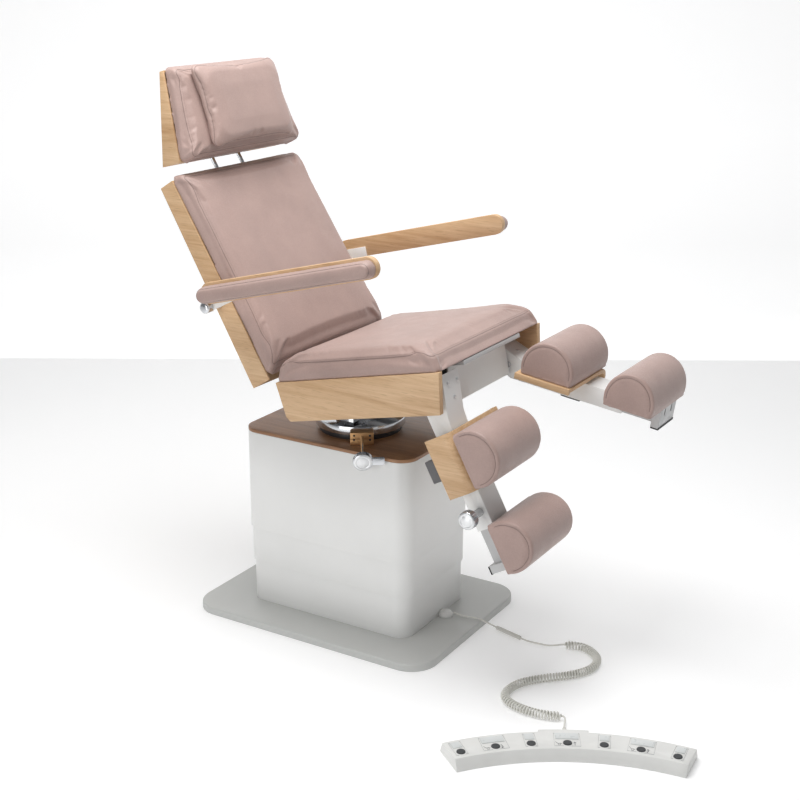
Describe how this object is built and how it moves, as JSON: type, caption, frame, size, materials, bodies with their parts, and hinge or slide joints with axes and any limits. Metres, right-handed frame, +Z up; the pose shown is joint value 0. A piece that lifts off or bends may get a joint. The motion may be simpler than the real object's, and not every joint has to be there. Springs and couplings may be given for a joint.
{
  "type": "podiatry chair",
  "caption": "Motor-lifted foot treatment chair with a swivelling, tilting seat, reclining back, movable headrest and arms, split leg rests and a corded foot control.",
  "frame": {"origin": "on the floor, under the centre of the base plate", "axes": "the sitter faces -Y, +X is the sitter's left, +Z is up"},
  "size_m": [1.0304, 1.6607, 1.5788],
  "materials": {
    "base_paint": "satin",
    "cover_paint": "satin",
    "frame_paint": "satin",
    "column_alloy": "satin",
    "dark_veneer": "satin",
    "clamp_metal": "satin",
    "chrome_trim": "polished",
    "drive_plastic": "matte",
    "oak_veneer": "satin",
    "rose_vinyl": "satin",
    "leg_paint": "satin",
    "leg_tube_steel": "satin",
    "control_plastic": "satin",
    "control_panel": "satin",
    "button_rubber": "matte",
    "cord_plastic": "satin",
    "sleeve_plastic": "satin"
  },
  "bodies": {
    "root": {"base_plate": "base_paint", "cover_lower": "cover_paint", "column_outer": "column_alloy", "lift_drive": "column_alloy", "cable_outlet": "base_paint", "foot_control_casing": "control_plastic", "foot_control_panels": "control_panel", "cord_lead": "cord_plastic", "cord_sleeve": "sleeve_plastic", "curly_cord": "cord_plastic"},
    "column_middle_stage": {"cover_middle": "cover_paint", "column_middle": "column_alloy"},
    "column_top_stage": {"cover_upper": "cover_paint", "column_inner": "column_alloy", "column_head_plate": "frame_paint", "column_top_panel": "dark_veneer", "swivel_clamp": "clamp_metal"},
    "swivel_lock": {"swivel_lock_knob": "chrome_trim"},
    "turntable": {"swivel_turntable": "frame_paint"},
    "seat": {"seat_frame": "frame_paint", "seat_pins": "chrome_trim", "seat_side_panels": "oak_veneer", "seat_front_panel": "cover_paint", "seat_pan": "frame_paint", "seat_cushion": "rose_vinyl", "seat_actuators": "drive_plastic"},
    "tilt_rod": {"tilt_actuator_rod": "chrome_trim"},
    "back_rod": {"back_actuator_rod": "chrome_trim"},
    "backrest": {"back_frame": "frame_paint", "back_shell": "oak_veneer", "back_cushion": "rose_vinyl"},
    "headrest_slide": {"headrest_rods": "chrome_trim"},
    "headrest": {"head_shell": "oak_veneer", "head_cushion": "rose_vinyl", "head_pillow": "rose_vinyl"},
    "left_arm": {"left_arm_bracket": "leg_paint", "left_arm_board": "oak_veneer", "left_arm_pad": "rose_vinyl"},
    "left_leg": {"left_leg_rail": "leg_paint", "left_leg_carrier": "oak_veneer", "left_leg_upper_cushion": "rose_vinyl"},
    "left_leg_extension": {"left_leg_inner_rail": "leg_tube_steel", "left_leg_lower_cushion": "rose_vinyl"},
    "left_leg_lock": {"left_leg_lock_knob": "chrome_trim"},
    "right_arm": {"right_arm_bracket": "leg_paint", "right_arm_board": "oak_veneer", "right_arm_pad": "rose_vinyl"},
    "right_leg": {"right_leg_rail": "leg_paint", "right_leg_carrier": "oak_veneer", "right_leg_upper_cushion": "rose_vinyl"},
    "right_leg_extension": {"right_leg_inner_rail": "leg_tube_steel", "right_leg_lower_cushion": "rose_vinyl"},
    "right_leg_lock": {"right_leg_lock_knob": "chrome_trim"},
    "button_1": {"foot_control_button_1": "button_rubber"},
    "button_2": {"foot_control_button_2": "button_rubber"},
    "button_3": {"foot_control_button_3": "button_rubber"},
    "button_4": {"foot_control_button_4": "button_rubber"},
    "button_5": {"foot_control_button_5": "button_rubber"},
    "button_6": {"foot_control_button_6": "button_rubber"},
    "button_7": {"foot_control_button_7": "button_rubber"}
  },
  "joints": [
    {"name": "column_lift", "type": "slide", "parent": "root", "child": "column_top_stage", "axis": [0, 0, 1], "range_m": [-0.21, 0.03]},
    {"name": "column_middle_travel", "type": "slide", "parent": "root", "child": "column_middle_stage", "axis": [0, 0, 1], "range_m": [-0.105, 0.015]},
    {"name": "seat_swivel", "type": "hinge", "parent": "column_top_stage", "child": "turntable", "pos_m": [0, -0.014, 0.59], "axis": [0, 0, 1], "range_deg": [-120, 120]},
    {"name": "swivel_lock_turn", "type": "hinge", "parent": "column_top_stage", "child": "swivel_lock", "pos_m": [-0.12436, -0.09788, 0.588], "axis": [-0.8044, -0.5426, -0.2419], "range_deg": [-90, 90]},
    {"name": "seat_tilt", "type": "hinge", "parent": "turntable", "child": "seat", "pos_m": [0, -0.014, 0.68], "axis": [1, 0, 0], "range_deg": [-3, 12.2]},
    {"name": "tilt_rod_travel", "type": "slide", "parent": "seat", "child": "tilt_rod", "axis": [0, 0.9774, -0.2113], "range_m": [-0.0035, 0.0115]},
    {"name": "back_recline", "type": "hinge", "parent": "seat", "child": "backrest", "pos_m": [0, 0.0941, 0.74462], "axis": [-1, 0, 0], "range_deg": [-3, 58]},
    {"name": "back_rod_travel", "type": "slide", "parent": "seat", "child": "back_rod", "axis": [0, 0.9774, -0.2113], "range_m": [-0.03, 0.0035]},
    {"name": "head_height", "type": "slide", "parent": "backrest", "child": "headrest_slide", "axis": [0, 0.5225, 0.8526], "range_m": [-0.01, 0.08]},
    {"name": "head_tilt", "type": "hinge", "parent": "headrest_slide", "child": "headrest", "pos_m": [0, 0.44995, 1.31], "axis": [-1, 0, 0], "range_deg": [-8, 22]},
    {"name": "left_arm_turn", "type": "hinge", "parent": "backrest", "child": "left_arm", "pos_m": [0.335, 0.26136, 0.95057], "axis": [-1, 0, 0], "range_deg": [-60, 100]},
    {"name": "left_leg_swing", "type": "hinge", "parent": "seat", "child": "left_leg", "pos_m": [0.208, -0.40042, 0.76662], "axis": [1, 0, 0], "range_deg": [-6, 73]},
    {"name": "left_leg_extend", "type": "slide", "parent": "left_leg", "child": "left_leg_extension", "axis": [0, -0.9903, -0.1392], "range_m": [0, 0.12]},
    {"name": "left_leg_lock_turn", "type": "hinge", "parent": "left_leg", "child": "left_leg_lock", "pos_m": [0.3, -0.69858, 0.71815], "axis": [1, 0, 0], "range_deg": [-90, 90]},
    {"name": "right_arm_turn", "type": "hinge", "parent": "backrest", "child": "right_arm", "pos_m": [-0.335, 0.26136, 0.95057], "axis": [-1, 0, 0], "range_deg": [-60, 100]},
    {"name": "right_leg_swing", "type": "hinge", "parent": "seat", "child": "right_leg", "pos_m": [-0.208, -0.40042, 0.76662], "axis": [1, 0, 0], "range_deg": [-60, 20]},
    {"name": "right_leg_extend", "type": "slide", "parent": "right_leg", "child": "right_leg_extension", "axis": [0, -0.4772, -0.8788], "range_m": [0, 0.12]},
    {"name": "right_leg_lock_turn", "type": "hinge", "parent": "right_leg", "child": "right_leg_lock", "pos_m": [-0.3, -0.53881, 0.49811], "axis": [-1, 0, 0], "range_deg": [-90, 90]},
    {"name": "button_1_press", "type": "slide", "parent": "root", "child": "button_1", "axis": [0, 0, -1], "range_m": [0, 0.0015], "stiffness_N_per_m": 1500, "springref_m": -0.0002},
    {"name": "button_2_press", "type": "slide", "parent": "root", "child": "button_2", "axis": [0, 0, -1], "range_m": [0, 0.0015], "stiffness_N_per_m": 1500, "springref_m": -0.0002},
    {"name": "button_3_press", "type": "slide", "parent": "root", "child": "button_3", "axis": [0, 0, -1], "range_m": [0, 0.0015], "stiffness_N_per_m": 1500, "springref_m": -0.0002},
    {"name": "button_4_press", "type": "slide", "parent": "root", "child": "button_4", "axis": [0, 0, -1], "range_m": [0, 0.0015], "stiffness_N_per_m": 1500, "springref_m": -0.0002},
    {"name": "button_5_press", "type": "slide", "parent": "root", "child": "button_5", "axis": [0, 0, -1], "range_m": [0, 0.0015], "stiffness_N_per_m": 1500, "springref_m": -0.0002},
    {"name": "button_6_press", "type": "slide", "parent": "root", "child": "button_6", "axis": [0, 0, -1], "range_m": [0, 0.0015], "stiffness_N_per_m": 1500, "springref_m": -0.0002},
    {"name": "button_7_press", "type": "slide", "parent": "root", "child": "button_7", "axis": [0, 0, -1], "range_m": [0, 0.0015], "stiffness_N_per_m": 1500, "springref_m": -0.0002}
  ],
  "couplings": [
    {"joint": "column_middle_travel", "follows": "column_lift", "ratio": 0.5},
    {"joint": "tilt_rod_travel", "follows": "seat_tilt", "m_per_rad": 0.0497},
    {"joint": "back_rod_travel", "follows": "back_recline", "m_per_rad": -0.0287}
  ]
}
